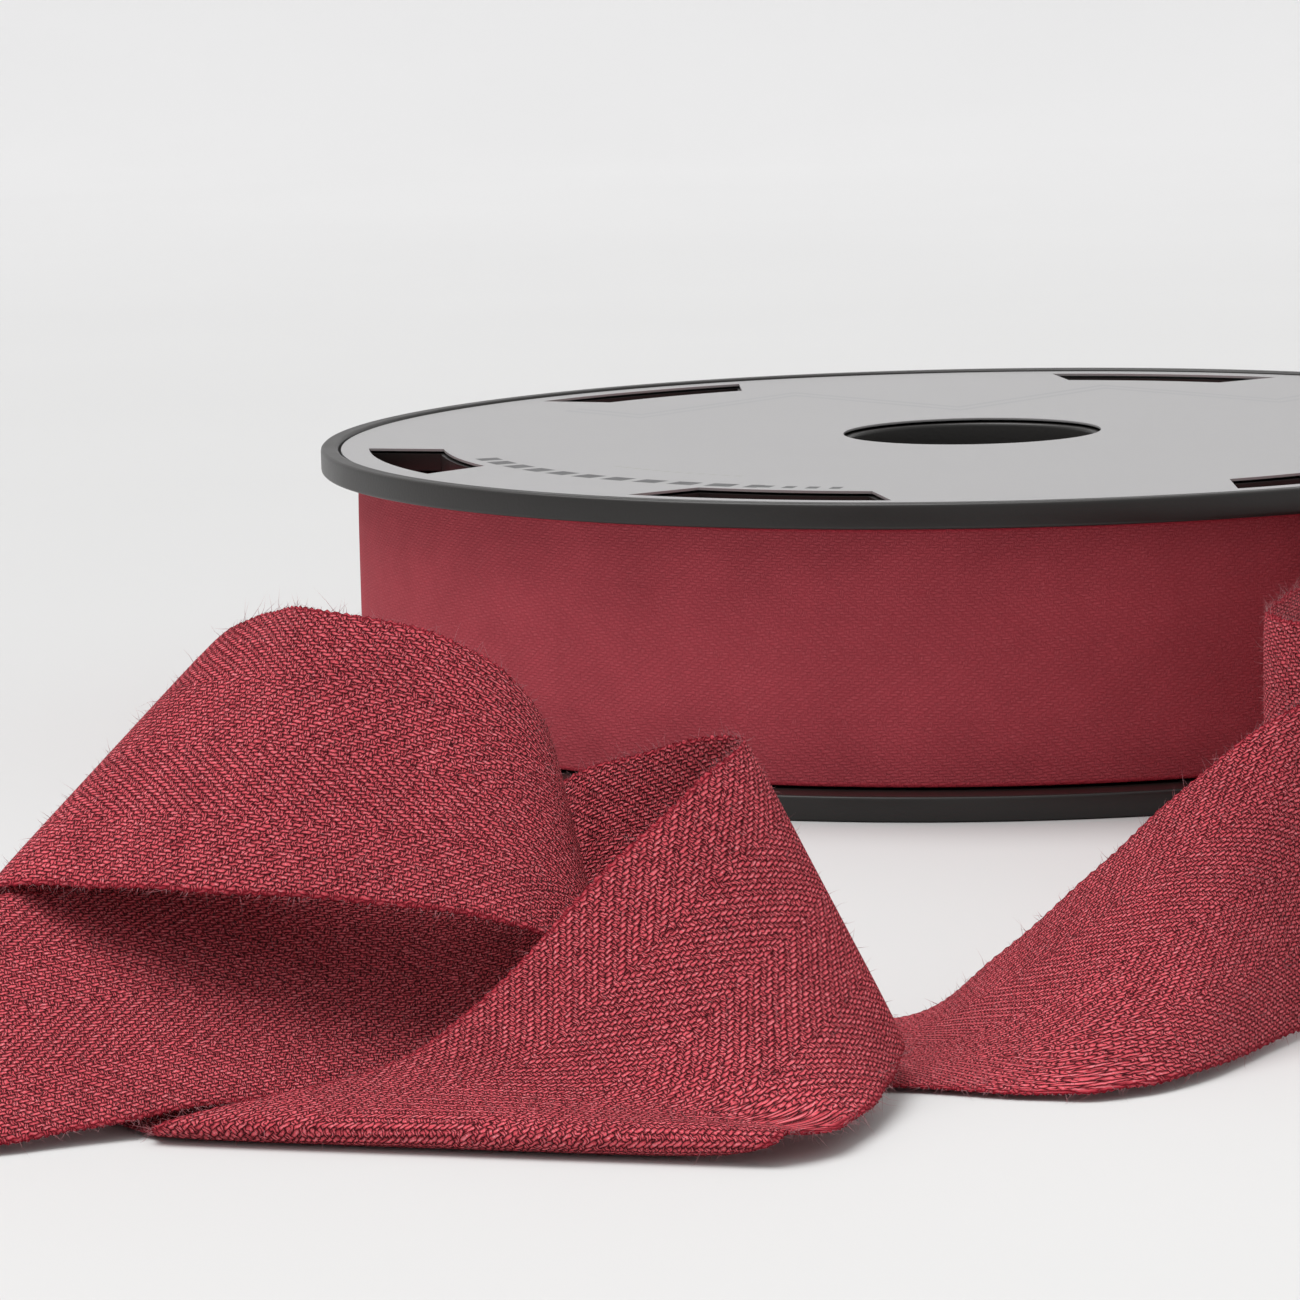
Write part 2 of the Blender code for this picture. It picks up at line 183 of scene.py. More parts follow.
HAIR_SEED = 7
HAIR_THICKNESS = 0.055 * MM
HAIR_SCATTER = 0.5
HAIR_BEND = 0.45
HAIR_LENGTH_SHAPE = 3.0  # of the gamma distribution, and its scale and upper limit for each kind of hair
FACE_HAIRS, FACE_HAIR_SCALE, FACE_HAIR_LIMIT = 18500, 0.20 * MM, 1.8 * MM
EDGE_HAIRS, EDGE_HAIR_SCALE, EDGE_HAIR_LIMIT = 5000, 0.26 * MM, 2.0 * MM
HAIR_COLUMNS = 60  # places across the tape where a hair can stand
ROWS_WITHOUT_HAIRS = 80  # at the coil

# The camera: its place from the spindle's foot, how far it looks down, and its roll
CAMERA_PLACE = (-41.5 * MM, -743.7 * MM, 113.0 * MM)
CAMERA_DOWN = math.radians(7.942)
CAMERA_ROLL = math.radians(-1.392)
CAMERA_LENS, CAMERA_SENSOR = 163.2, 36.0  # both in millimetres


# ---------------------------------------------------------------- meshes


def in_scene(name, data):
    """An object that holds data, at the origin and in the scene."""
    made = bpy.data.objects.new(name, data)
    bpy.context.scene.collection.objects.link(made)
    return made


def unit(vectors):
    """The vectors, each brought to length 1."""
    return vectors / np.linalg.norm(vectors, axis=-1, keepdims=True)


def mesh_piece(name, points, faces, uv=None, material=None):
    """A smooth-shaded object. uv holds one pair for each point, as the faces' corners read it."""
    faces = faces if isinstance(faces, list) else faces.tolist()
    mesh = bpy.data.meshes.new(name)
    mesh.from_pydata(np.asarray(points, float).tolist(), [], faces)
    mesh.shade_smooth()
    if uv is not None:
        layer = mesh.uv_layers.new(name="weave")
        corner_point = np.empty(len(mesh.loops), np.int32)
        mesh.loops.foreach_get("vertex_index", corner_point)
        layer.data.foreach_set("uv", np.asarray(uv, np.float32)[corner_point].ravel())
    piece = in_scene(name, mesh)
    if material:
        mesh.materials.append(material)
    return piece


def grid_faces(rows, columns, close_rows=False, close_columns=False):
    """Quads between neighbouring points of a grid stored row by row, joined up again where it closes."""
    row = np.arange(rows if close_rows else rows - 1)[:, None]
    column = np.arange(columns if close_columns else columns - 1)[None, :]
    next_row, next_column = (row + 1) % rows, (column + 1) % columns
    corners = (
        row * columns + column,
        row * columns + next_column,
        next_row * columns + next_column,
        next_row * columns + column,
    )
    return np.stack([np.broadcast_to(c, (row.size, column.size)).ravel() for c in corners], axis=1)


def carried_round(profile, angles):
    """An outline of (radius, height) points at each angle round the spindle, and the quads that close it.

    A point is the spindle + radius at the angle, at the outline's height. The outline runs down its outer
    side, so that faces point outwards."""
    profile = np.asarray(profile, float)
    radius, height = profile[:, 0], profile[:, 1]
    x = SPINDLE[0] + radius * np.cos(angles[:, None])
    y = SPINDLE[1] + radius * np.sin(angles[:, None])
    points = np.stack([x, y, np.broadcast_to(height, x.shape)], axis=2).reshape(-1, 3)
    return points, grid_faces(len(angles), len(profile), close_rows=True, close_columns=True)[:, ::-1]


def turned(name, profile, steps, material):
    """A solid of revolution round the spindle."""
    points, faces = carried_round(profile, np.linspace(0, 2 * np.pi, steps, endpoint=False))
    return mesh_piece(name, points, faces, material=material)


def rounded(profile, radius, steps=4):
    """A closed outline with each corner replaced by an arc: quadratic curves from radius before the corner,
    bent towards it, to radius after it."""
    profile = np.asarray(profile, float)
    before, after = np.roll(profile, 1, axis=0), np.roll(profile, -1, axis=0)

    def towards(other):
        step = other - profile
        length = np.linalg.norm(step, axis=1, keepdims=True)
        return profile + step * np.minimum(0.45, radius / length)

    start, end = towards(before)[:, None], towards(after)[:, None]
    t = np.linspace(0, 1, steps)[None, :, None]
    arcs = (1 - t) ** 2 * start + 2 * t * (1 - t) * profile[:, None] + t**2 * end
    return arcs.reshape(-1, 2)


# ---------------------------------------------------------------- materials


class Value:
    """A socket of a material. Arithmetic on it adds Math nodes."""

    def __init__(self, finish, socket):
        self.finish, self.socket = finish, socket

    def math(self, operation, *others):
        sockets = dict(enumerate((self, *others)))
        node = self.finish.node("ShaderNodeMath", {"operation": operation}, sockets)
        return Value(self.finish, node.outputs[0])

    def __add__(self, other):
        return self.math("ADD", other)

    def __mul__(self, other):
        return self.math("MULTIPLY", other)

    def __sub__(self, other):
        return self.math("SUBTRACT", other)

    def __rsub__(self, other):
        return (self * -1.0) + other

    def __truediv__(self, other):
        return self.math("DIVIDE", other)

    def __lt__(self, other):
        return self.math("LESS_THAN", other)

    def __gt__(self, other):
        return self.math("GREATER_THAN", other)

    __radd__, __rmul__ = __add__, __mul__

    def between(self, low, high):
        """0 at low, 1 at high, smooth in between."""
        settings = {"interpolation_type": "SMOOTHSTEP"}
        node = self.finish.node("ShaderNodeMapRange", settings, {0: self, 1: low, 2: high})
        return Value(self.finish, node.outputs[0])


class Finish:
    """A Principled material: constants on its own sockets, and whatever varies linked to them."""

    def __init__(self, name, roughness, **constants):
        self.material = bpy.data.materials.new(name)
        self.material.use_nodes = True
        self.tree = self.material.node_tree
        self.shader = self.tree.nodes["Principled BSDF"]
        self.shader.inputs["Roughness"].default_value = roughness
        for socket, value in constants.items():
            self.shader.inputs[socket.replace("_", " ")].default_value = value

    def node(self, kind, settings, sockets):
        """One node of that kind: its settings first, then the values or links of its sockets."""
        node = self.tree.nodes.new(kind)
        for name, value in settings.items():
            if name == "stops":
                ramp = node.color_ramp.elements
                while len(ramp) < len(value):
                    ramp.new(0.5)
                for element, (position, colour) in zip(ramp, value):
                    element.position, element.color = position, (*colour, 1.0)
            else:
                setattr(node, name, value)
        for key, value in sockets.items():
            self.put(node.inputs[key], value)
        return node

    def put(self, socket, value):
        if isinstance(value, Value):
            self.tree.links.new(value.socket, socket)
        else:
            socket.default_value = value

    def set(self, name, value):
        self.put(self.shader.inputs[name], value)

    def place(self, middle=(0.0, 0.0, 0.0)):
        """The point on the object, less middle, as a vector in metres."""
        point = Value(self, self.node("ShaderNodeTexCoord", {}, {}).outputs["Object"])
        moved = self.node("ShaderNodeVectorMath", {"operation": "SUBTRACT"}, {0: point, 1: middle})
        return Value(self, moved.outputs[0])

    def parts(self, vector):
        split = self.node("ShaderNodeSeparateXYZ", {}, {0: vector})
        return [Value(self, output) for output in split.outputs]

    def joined(self, x, y, z=0.0):
        return Value(self, self.node("ShaderNodeCombineXYZ", {}, {0: x, 1: y, 2: z}).outputs[0])

    def noise(self, vector, scale, detail=2.0, rough=0.5):
        """Smooth random values from about 0 to 1, scale humps to the vector's unit."""
        sockets = {"Vector": vector, "Scale": scale, "Detail": detail, "Roughness": rough}
        return Value(self, self.node("ShaderNodeTexNoise", {}, sockets).outputs[0])

    def mixed(self, factor, first, second):
        """Between two colours."""
        node = self.node("ShaderNodeMix", {"data_type": "RGBA"}, {0: factor, 6: first, 7: second})
        return Value(self, node.outputs[2])

    def chosen(self, factor, first, second):
        """Between two numbers."""
        node = self.node("ShaderNodeMix", {"data_type": "FLOAT"}, {0: factor, 2: first, 3: second})
        return Value(self, node.outputs[0])

    def darkened(self, value, base):
        """The colour with its brightness multiplied by value."""
        node = self.node("ShaderNodeHueSaturation", {}, {"Value": value, "Color": base})
        return Value(self, node.outputs[0])

    def relief(self, height, depth):
        """Bumps: height 1 stands depth above height 0."""
        sockets = {"Height": height, "Distance": depth, "Strength": 1.0}
        self.set("Normal", Value(self, self.node("ShaderNodeBump", {}, sockets).outputs[0]))


def colour(red, green, blue):
    return (red, green, blue, 1.0)


def herringbone(finish, along, across):
    """The height of the cloth, from 0 in the pits to about 1 on the yarns, and 1.2 on the highest.

    Warp yarns are counted across the tape, back and forth within each zone, and picks along it. Their sum,
    modulo 4, says which of a 2/2 twill's crossings it is: a warp yarn lies on top of two picks, and then a
    pick on top of two warp yarns. A float is round across itself and dips at its two ends. A pick is two thin
    yarns side by side. The yarns wander a little, and no two floats stand equally high."""
    cloth = finish.joined(along, across)
    sway = finish.noise(cloth, scale=0.8, detail=1.0) - 0.5
    wander = finish.noise(cloth, scale=2.2, detail=1.0) - 0.5
    warps = (across + wander * WARP_STRAY).math("PINGPONG", ZONE_WIDTH) / WARP_PITCH
    picks = (along + sway * PICK_STRAY + wander * PICK_STRAY) / PICK_PITCH
    warp, pick = warps.math("FLOOR"), picks.math("FLOOR")
    over_warp, over_pick = warps - warp, picks - pick
    crossing = (warp + pick).math("FLOORED_MODULO", 4.0)
    warp_on_top = crossing < 1.5
    run = (crossing.math("FLOORED_MODULO", 2.0) + finish.chosen(warp_on_top, over_warp, over_pick)) * 0.5
    side = finish.chosen(warp_on_top, (over_pick * 2.0).math("FRACT"), over_warp)
    roundness = 1.0 - (side * 2.0 - 1.0).math("ABSOLUTE").math("POWER", 2.0)
    ends = 1.0 - (run * 2.0 - 1.0).math("ABSOLUTE").math("POWER", 2.6)
    unequal = finish.noise(finish.joined(warp * 3.7, pick * 2.9), scale=1.0, detail=0.0) * 1.1 + 0.4
    level = finish.chosen(warp_on_top, 0.94, 1.0)  # the picks lie a little lower
    height = roundness.math("MAXIMUM", 0.0).math("SQRT") * ends * level
    return (height * unequal).math("MINIMUM", 1.2)


def cotton(name, painted_pit_shade, yarn, painted_glint, depth, contrast):
    """Woven cotton on the UV map of distances: pale on its yarns, and redder on its selvedges. Its pits are
    darkened with painted shade, and painted highlights lie on its highest yarns and fibres."""
    finish = Finish(name, 0.92, Sheen_Weight=0.02, Sheen_Roughness=0.5, Specular_IOR_Level=0.08)
    uv = Value(finish, finish.node("ShaderNodeUVMap", {"uv_map": "weave"}, {}).outputs[0])
    along, across, _ = finish.parts(uv)
    along, across = along * (1 / MM), across * (1 / MM)
    height = herringbone(finish, along, across)
    cloth = finish.joined(along, across)
    fibres = finish.noise(cloth, scale=5.5, detail=3.0, rough=0.7)
    clouds = finish.noise(cloth, scale=0.12, detail=3.0, rough=0.55)
    # painted shade: the lower the cloth between the yarns, the nearer its colour comes to the darkest colour
    level = height * contrast + (fibres - 0.5) * 0.5 + (1.0 - contrast)
    base = finish.mixed(level.between(0.0, 0.95), painted_pit_shade, yarn)
    # painted highlight: pale glints on the highest yarns and where the fibres stand out
    base = finish.mixed((fibres * 1.2 + height * 0.4).between(0.85, 1.35) * 0.8, base, painted_glint)
    edge = (across - TAPE_WIDTH / MM / 2).math("ABSOLUTE").between(*SELVEDGE)
    base = finish.mixed(edge * 0.6, base, colour(0.40, 0.016, 0.035))
    finish.set("Base Color", finish.darkened(clouds * 0.36 + 0.82, base))
    finish.relief(height + fibres * 0.4, depth)
    return finish.material


def reel_plastic():
    """Charcoal moulded plastic: a fine matte grain, and slightly paler where it is rubbed."""
    finish = Finish("reel_plastic", 0.42, Specular_IOR_Level=0.5)
    place = finish.place()
    grain = finish.noise(place, scale=2600.0)
    rubbed = finish.noise(place, scale=60.0, detail=4.0, rough=0.6)
    charcoal, worn = colour(0.010, 0.0085, 0.0075), colour(0.019, 0.0165, 0.015)
    finish.set("Base Color", finish.mixed(rubbed, charcoal, worn))
    finish.set("Roughness", rubbed * 0.22 + 0.30)
    finish.relief(grain, 0.02 * MM)
    return finish.material


def label_card():
    """Silver-grey satin card, printed with an arc of running stitches that ends in dots, a fainter dashed arc
    inside it, and two pale zigzag lines behind.

    The arcs are worked out from the distance to the spindle in millimetres and the angle from the front in
    degrees. A zigzag is where y follows a triangle wave of x."""
    finish = Finish("label_card", 0.34, Metallic=0.15, Specular_IOR_Level=0.5)
    place = finish.place((*SPINDLE, 0.0))
    x, y, _ = finish.parts(place)
    radius = (x * x + y * y).math("SQRT") * (1 / MM)
    angle = y.math("ARCTAN2", x) * (180 / math.pi)
    fibre = finish.noise(place, scale=900.0, detail=3.0)
    soft = finish.noise(place, scale=22.0, detail=3.0)
    base = finish.mixed(soft, colour(0.337, 0.329, 0.331), colour(0.400, 0.393, 0.396))
    from_front = angle + 90.0
    blur = 0.12  # half the width of a printed edge

    def ring(middle, half_width):
        away = (radius - middle).math("ABSOLUTE")
        return 1.0 - away.between(half_width - blur, half_width + blur)

    def arc(low, high):
        return (from_front > low) * (from_front < high)

    def dashes(pitch, share):
        step = (from_front / pitch).math("FRACT")
        return step < share

    stitches = ring(64.0, 1.4) * dashes(4.6, 0.68) * arc(-73.0, -26.0)
    dots = ring(64.0, 1.0) * dashes(2.6, 0.5) * arc(-26.0, -17.0)
    base = finish.mixed((stitches + dots).math("MINIMUM", 1.0), base, colour(0.03, 0.03, 0.032))
    fine = ring(55.0, 0.5) * dashes(1.9, 0.6) * arc(-56.0, -33.0)
    base = finish.mixed(fine * 0.45, base, colour(0.28, 0.28, 0.24))
    zigzag = y * (1 / MM) - 31.0 - (x * (1 / MM)).math("PINGPONG", 21.0) * 1.2

    def line(away):
        return 1.0 - away.math("ABSOLUTE").between(0.8, 1.1)

    pale = (line(zigzag) + line(zigzag + 4.0)) * (radius < 65.0) * (y > 0.0)
    base = finish.mixed(pale * 0.7, base, colour(0.30, 0.30, 0.31))
    finish.set("Base Color", base)
    finish.set("Roughness", soft * 0.14 + 0.27)
    finish.relief(fibre * 0.5 + soft, 0.03 * MM)
    return finish.material


# ---------------------------------------------------------------- the tape


def smooth_rows(ends, steps):
    """Catmull-Rom curves through the stations' ends: (rows, 2 ends, xyz), steps rows to a station."""
    ends = np.concatenate([2 * ends[:1] - ends[1:2], ends, 2 * ends[-1:] - ends[-2:-1]])
    t = (np.arange(steps) / steps)[None, :, None, None]
    a, b, c, d = (ends[i : len(ends) - 3 + i, None] for i in range(4))
    bent = (2 * a - 5 * b + 4 * c - d) * t**2 + (3 * b - a - 3 * c + d) * t**3
    rows = 0.5 * (2 * b + (c - a) * t + bent)
    return np.concatenate([rows.reshape(-1, 2, 3), ends[None, -2]])


def softened(values, spread):
    """Each row averaged with its neighbours by a bell curve of that many rows; the end rows stay."""
    reach = int(3 * spread) + 1
    bell = np.exp(-0.5 * (np.arange(-reach, reach + 1) / spread) ** 2)
    bell /= bell.sum()
    first, last = values[:1], values[-1:]
    before, after = 2 * first - values[reach:0:-1], 2 * last - values[-2 : -reach - 2 : -1]
    padded = np.concatenate([before, values, after])
    flat = padded.reshape(len(padded), -1)
    smooth = np.stack([np.convolve(column, bell, "valid") for column in flat.T], axis=1)
    return smooth.reshape(values.shape)


def along_middle(rows):
    """The distance along the tape's middle line at each row."""
    middle = rows.mean(axis=1)
    return np.concatenate([[0.0], np.cumsum(np.linalg.norm(np.diff(middle, axis=0), axis=1))])


def tape_rows():
    """Rows across the tape, ROW_STEP apart along its middle line, from the cut end to the coil."""
    loose = np.asarray(LOOSE_STATIONS, float) * MM
    loose[:, :, :2] += SPINDLE
    angles = np.radians(OUTER_TURN_ANGLES)
    turn = SPINDLE + np.stack([np.cos(angles), np.sin(angles)], axis=1) * OUTER_TURN_RADIUS
    on_coil = [[(x, y, TAPE_TOP), (x, y, TAPE_BOTTOM)] for x, y in turn]
    rows = smooth_rows(np.concatenate([loose, np.asarray(on_coil)]), ROWS_BETWEEN_STATIONS)
    rows[:, :, 2] = np.maximum(rows[:, :, 2], TAPE_THICKNESS / 2)
    distance = along_middle(rows)
    wanted = np.linspace(0, distance[-1], int(distance[-1] / ROW_STEP))
    flat = rows.reshape(len(rows), -1)
    even = np.stack([np.interp(wanted, distance, column) for column in flat.T], axis=1)
    return softened(even.reshape(-1, 2, 3), ROW_SPREAD)


def lead_of_far_end(rows):
    """How far the second selvedge's end is ahead of the first one's, along the tape, at each row."""
    middle = rows.mean(axis=1)
    heading = unit(np.gradient(middle, axis=0))
    lead = ((rows[:, 1] - rows[:, 0]) * heading).sum(axis=1)
    return softened(lead[:, None], LEAD_SPREAD)[:, 0]


def tape_surface(rows, across):
    """Points of the tape's middle surface, straight across each row, and the unit normals there."""
    share = across[None, :, None]
    points = rows[:, :1] * (1 - share) + rows[:, 1:] * share
    return points, unit(np.cross(np.gradient(points, axis=0), np.gradient(points, axis=1)))


def make_loose_tape(material):
    """A closed strip: two skins that meet in round selvedges.

    Its half thickness falls off from the middle towards the selvedges like a superellipse of power 6. The
    selvedges are beaded, one bead for each pair of picks: they go in and out as a sine wave of the distance
    along. A slower wave, the sine of a distance that itself sways, moves them sideways. Over TAPER_LENGTH the
    strip thins to TAPER_END of its thickness where it joins the coil."""
    rows = tape_rows()
    turn = np.linspace(0, np.pi, CORNERS_PER_SKIN)
    across = 0.5 - 0.5 * np.sign(np.cos(turn)) * np.abs(np.cos(turn)) ** 0.8
    points, normals = tape_surface(rows, across)
    distance = along_middle(rows)
    half = TAPE_THICKNESS / 2 * np.clip((distance[-1] - distance) / TAPER_LENGTH, TAPER_END, 1)
    profile = np.maximum(0, 1 - np.abs(2 * across - 1) ** 6) ** 0.5
    bead = np.sin(distance / (2 * PICK_PITCH * MM) * 2 * np.pi)
    thick = half[:, None] * (profile + 0.15 * (1 - profile) * (1 + 0.6 * bead[:, None]))
    upper = points + normals * thick[:, :, None]
    lower = points - normals * thick[:, :, None]
    outwards = (2 * across - 1) ** 15
    swell = BEAD_SWELL * bead[:, None] * outwards
    sway = np.sin(distance / MM * 0.61 + 1.3 * np.sin(distance / MM * 0.17))
    wave = SELVEDGE_WAVE * sway[:, None] * outwards
    shift = unit(rows[:, 1] - rows[:, 0])[:, None, :] * (swell + wave)[:, :, None]
    ring = np.concatenate([upper + shift, (lower + shift)[:, ::-1]], axis=1)
    ring[:, :, 2] = np.maximum(ring[:, :, 2], 0.02 * MM)  # nothing goes below the table
    lead = lead_of_far_end(rows)
    along = distance[:, None] + (across[None, :] - 0.5) * lead[:, None]
    uv = np.stack([along, np.broadcast_to(across * TAPE_WIDTH, along.shape)], axis=2)
    uv = np.concatenate([uv, uv[:, ::-1]], axis=1)
    count, columns = ring.shape[:2]
    faces = grid_faces(count, columns, close_columns=True).tolist()
    faces.append(list(range(columns)))
    faces.append(list(range((count - 1) * columns, count * columns))[::-1])
    piece = mesh_piece("loose_tape", ring.reshape(-1, 3), faces, uv.reshape(-1, 2), material)
    return piece, rows, float(distance[-1])


def hair_meshes(name, roots, directions, random, lengths, material):
    """Tapered three-sided hairs as one piece.

    A hair's middle is root + direction x length x s + bend x length x s squared, with s from 0 to 1. Its
    radius falls evenly from HAIR_THICKNESS / 2 to nothing at its tip. The directions are scattered and the
    bends drawn at random. No hair goes below the table."""
    directions = unit(directions + random.normal(0, HAIR_SCATTER, directions.shape))
    bends = random.normal(0, HAIR_BEND, directions.shape)
    count = len(roots)
    s = np.array([0, 0.55])[None, :, None, None]
    side = unit(np.cross(directions, [0.31, 0.17, 0.93]))  # any vector that no hair is parallel to
    other = np.cross(directions, side)
    spin = np.arange(3) * 2 * np.pi / 3
    star = side[:, None] * np.cos(spin)[:, None] + other[:, None] * np.sin(spin)[:, None]
    length = lengths[:, None, None, None]
    root, heading, bend = (v[:, None, None, :] for v in (roots, directions, bends))
    radius = HAIR_THICKNESS / 2 * (1 - s)
    shafts = root + heading * length * s + bend * length * s**2 + star[:, None] * radius
    tips = roots + (directions + bends) * lengths[:, None]
    points = np.concatenate([shafts.reshape(count, 6, 3), tips[:, None]], axis=1).reshape(-1, 3)
    points[:, 2] = np.maximum(points[:, 2], 0.01 * MM + 0.01 * MM * (np.arange(len(points)) % 3))
    quads = np.array([(i, (i + 1) % 3, 3 + (i + 1) % 3, 3 + i) for i in range(3)])
    ends = np.array([(3 + i, 3 + (i + 1) % 3, 6) for i in range(3)] + [(2, 1, 0)])
    first = np.arange(count)[:, None, None] * 7
    faces = (first + quads).reshape(-1, 4).tolist() + (first + ends).reshape(-1, 3).tolist()
    return mesh_piece(name, points, faces, material=material)


def make_fuzz(rows, material):
    """Loose fibres: those that stand off both faces of the tape, and the longer ones of its selvedges."""
    random = np.random.default_rng(HAIR_SEED)
    points, normals = tape_surface(rows, np.linspace(0, 1, HAIR_COLUMNS + 1))
    last = len(rows) - ROWS_WITHOUT_HAIRS
    row = random.integers(2, last, FACE_HAIRS)
    column = random.integers(1, HAIR_COLUMNS, FACE_HAIRS)
    up = normals[row, column] * random.choice([-1.0, 1.0], FACE_HAIRS)[:, None]
    roots = points[row, column] + up * TAPE_THICKNESS * 0.42
    lengths = random.gamma(HAIR_LENGTH_SHAPE, FACE_HAIR_SCALE, FACE_HAIRS)
    lengths = np.minimum(lengths, FACE_HAIR_LIMIT)
    nap = hair_meshes("cotton_nap", roots, up, random, lengths, material)
    row = random.integers(2, last, EDGE_HAIRS)
    edge = random.integers(0, 2, EDGE_HAIRS)
    out = unit(rows[row, edge] - rows[row, 1 - edge])
    roots = rows[row, edge] - out * 0.1 * MM
    lengths = random.gamma(HAIR_LENGTH_SHAPE, EDGE_HAIR_SCALE, EDGE_HAIRS)
    lengths = np.minimum(lengths, EDGE_HAIR_LIMIT)
    fringe = hair_meshes("selvedge_fuzz", roots, out, random, lengths, material)
    return nap, fringe


def fuzz_cotton():
    """Single cotton fibres, paler than the cloth."""
    finish = Finish("fuzz_cotton", 0.8, Sheen_Weight=0.3)
    tint = finish.noise(finish.place(), 700.0)
    base = finish.mixed(tint, colour(0.30, 0.06, 0.08), colour(0.52, 0.20, 0.22))
    finish.set("Base Color", base)
    return finish.material


# ---------------------------------------------------------------- the reel


def coil_profile():
    """The wound tape's outline. Its outer side is one tape's width and bellied, by the fourth power of the
    distance from half height. Its top and bottom are the selvedges of the outermost turns, each a round ridge
    a little above or below its neighbours, and flat further in."""
    turns = np.arange(15)
    outer = COIL_RADIUS - turns * TAPE_THICKNESS
    ridge = np.array([0.06, 0.3, 0.5, 0.7, 0.94])
    rise = np.sqrt(np.maximum(0, 1 - (2 * ridge - 1) ** 2)) * RIDGE_HEIGHT
    radii = (outer[:, None] - ridge * TAPE_THICKNESS).ravel()
    tops = np.tile(rise - RIDGE_HEIGHT, len(turns))
    uneven = RIDGE_UNEVENNESS * np.sin(np.repeat(turns, len(ridge)) * 2.4)
    top_edge, bottom_edge = TAPE_TOP - COIL_EDGE, TAPE_BOTTOM + COIL_EDGE
    sides = np.linspace(top_edge, bottom_edge, 13)
    belly = COIL_RADIUS - COIL_BELLY * (np.abs(np.linspace(-1, 1, 13)) ** 4)
    top = np.stack([radii, TAPE_TOP + tops - np.abs(uneven)], axis=1)[::-1]
    bottom = np.stack([radii, TAPE_BOTTOM - tops + np.abs(uneven)], axis=1)
    side = np.stack([belly, sides], axis=1)
    inner = HUB_RADIUS + HUB_PLAY
    return np.concatenate([[(inner, top_edge)], top, side, bottom, [(inner, bottom_edge)]])


def make_coil(material):
    """The wound tape, with its UV map: the distance round the coil, and the height above the tape's lower
    edge. The faces that close the ring read the full distance at their far end, so the map has one seam."""
    profile = coil_profile()
    angles = np.linspace(COIL_SEAM, COIL_SEAM + 2 * np.pi, COIL_STEPS + 1)[:-1]
    points, faces = carried_round(profile, angles)
    piece = mesh_piece("wound_coil", points, faces, material=material)
    columns = len(profile)
    row = faces // columns
    wrapped = (row.max(axis=1) - row.min(axis=1)) > 1
    row = np.where(wrapped[:, None] & (row == 0), COIL_STEPS, row)
    across = profile[:, 1] - TAPE_BOTTOM
    uv = np.stack([row * (2 * np.pi * COIL_RADIUS / COIL_STEPS), across[faces % columns]], axis=2)
    layer = piece.data.uv_layers.new(name="weave")
    layer.data.foreach_set("uv", uv.astype(np.float32).ravel())
    return piece


def ring_outline(outer, inner, top, bottom):
    """The outline of a plain ring, as (radius, height) points."""
    return [(outer, top), (outer, bottom), (inner, bottom), (inner, top)]


def flange_profile():
    """The lower flange's outline: rim, recessed web, sleeve of the bore, and the spigot that centres the hub
    tube."""
    sleeve = BORE_RADIUS + SLEEVE_WALL
    spigot_outer = HUB_RADIUS - HUB_WALL - HUB_PLAY
    spigot_inner = spigot_outer - SPIGOT_WALL
    rim_inner = REEL_RADIUS - RIM_WIDTH
    sleeve_top, spigot_top = FLANGE + SLEEVE_HEIGHT, FLANGE + SPIGOT_HEIGHT
    return [
        (REEL_RADIUS, FLANGE), (REEL_RADIUS, 0.0), (rim_inner, 0.0), (rim_inner, LABEL_RECESS),
        (BORE_RADIUS, LABEL_RECESS), (BORE_RADIUS, sleeve_top), (sleeve, sleeve_top), (sleeve, FLANGE),
        (spigot_inner, FLANGE), (spigot_inner, spigot_top),
        (spigot_outer, spigot_top), (spigot_outer, FLANGE),
    ]


def window_prisms(low, high, margin):
    """Arc-shaped prisms through the windows. The outer arc spans a wider angle than the inner one, by
    WINDOW_SLANT at each end."""
    inner, outer = WINDOW_RING[0] - margin, WINDOW_RING[1] + margin
    half = WINDOW_SPAN / 2 + margin / outer
    t = np.linspace(-1, 1, WINDOW_ARC_POINTS)
    arc_angle = np.concatenate([t * half, -t * (half - WINDOW_SLANT)])
    arc_radius = np.repeat([outer, inner], WINDOW_ARC_POINTS)
    middles = np.radians(WINDOW_ANGLES)[:, None]
    x = SPINDLE[0] + arc_radius * np.cos(arc_angle + middles)
    y = SPINDLE[1] + arc_radius * np.sin(arc_angle + middles)
    count, corners = x.shape
    points = np.stack([np.stack([x, y, np.full_like(x, z)], axis=2) for z in (low, high)], axis=1)
    walls = grid_faces(2, corners, close_columns=True)
    faces = []
    for first in range(0, count * 2 * corners, 2 * corners):
        faces += (walls + first).tolist()
        faces.append(list(range(first, first + corners))[::-1])
        faces.append(list(range(first + corners, first + 2 * corners)))
    return mesh_piece("window_cutter", points.reshape(-1, 3), faces)


def with_windows(piece, margin=0.0):
    """The piece with the windows cut through it, margin wider all round, as a finished mesh. Its level faces
    are shaded flat."""
    cutter = window_prisms(-1 * MM, REEL_HEIGHT + 1 * MM, margin)
    modifier = piece.modifiers.new("windows", "BOOLEAN")
    modifier.operation, modifier.solver, modifier.object = "DIFFERENCE", "EXACT", cutter
    graph = bpy.context.evaluated_depsgraph_get()
    mesh = bpy.data.meshes.new_from_object(piece.evaluated_get(graph))
    piece.modifiers.clear()
    old, piece.data = piece.data, mesh
    bpy.data.meshes.remove(old)
    bpy.data.objects.remove(cutter, do_unlink=True)
    piece.data.shade_smooth()
    piece.data.set_sharp_from_angle(angle=SHARP_ANGLE)
    normals = np.empty(len(piece.data.polygons) * 3, np.float32)
    piece.data.polygons.foreach_get("normal", normals)
    piece.data.polygons.foreach_set("use_smooth", np.abs(normals[2::3]) < LEVEL)
    return piece


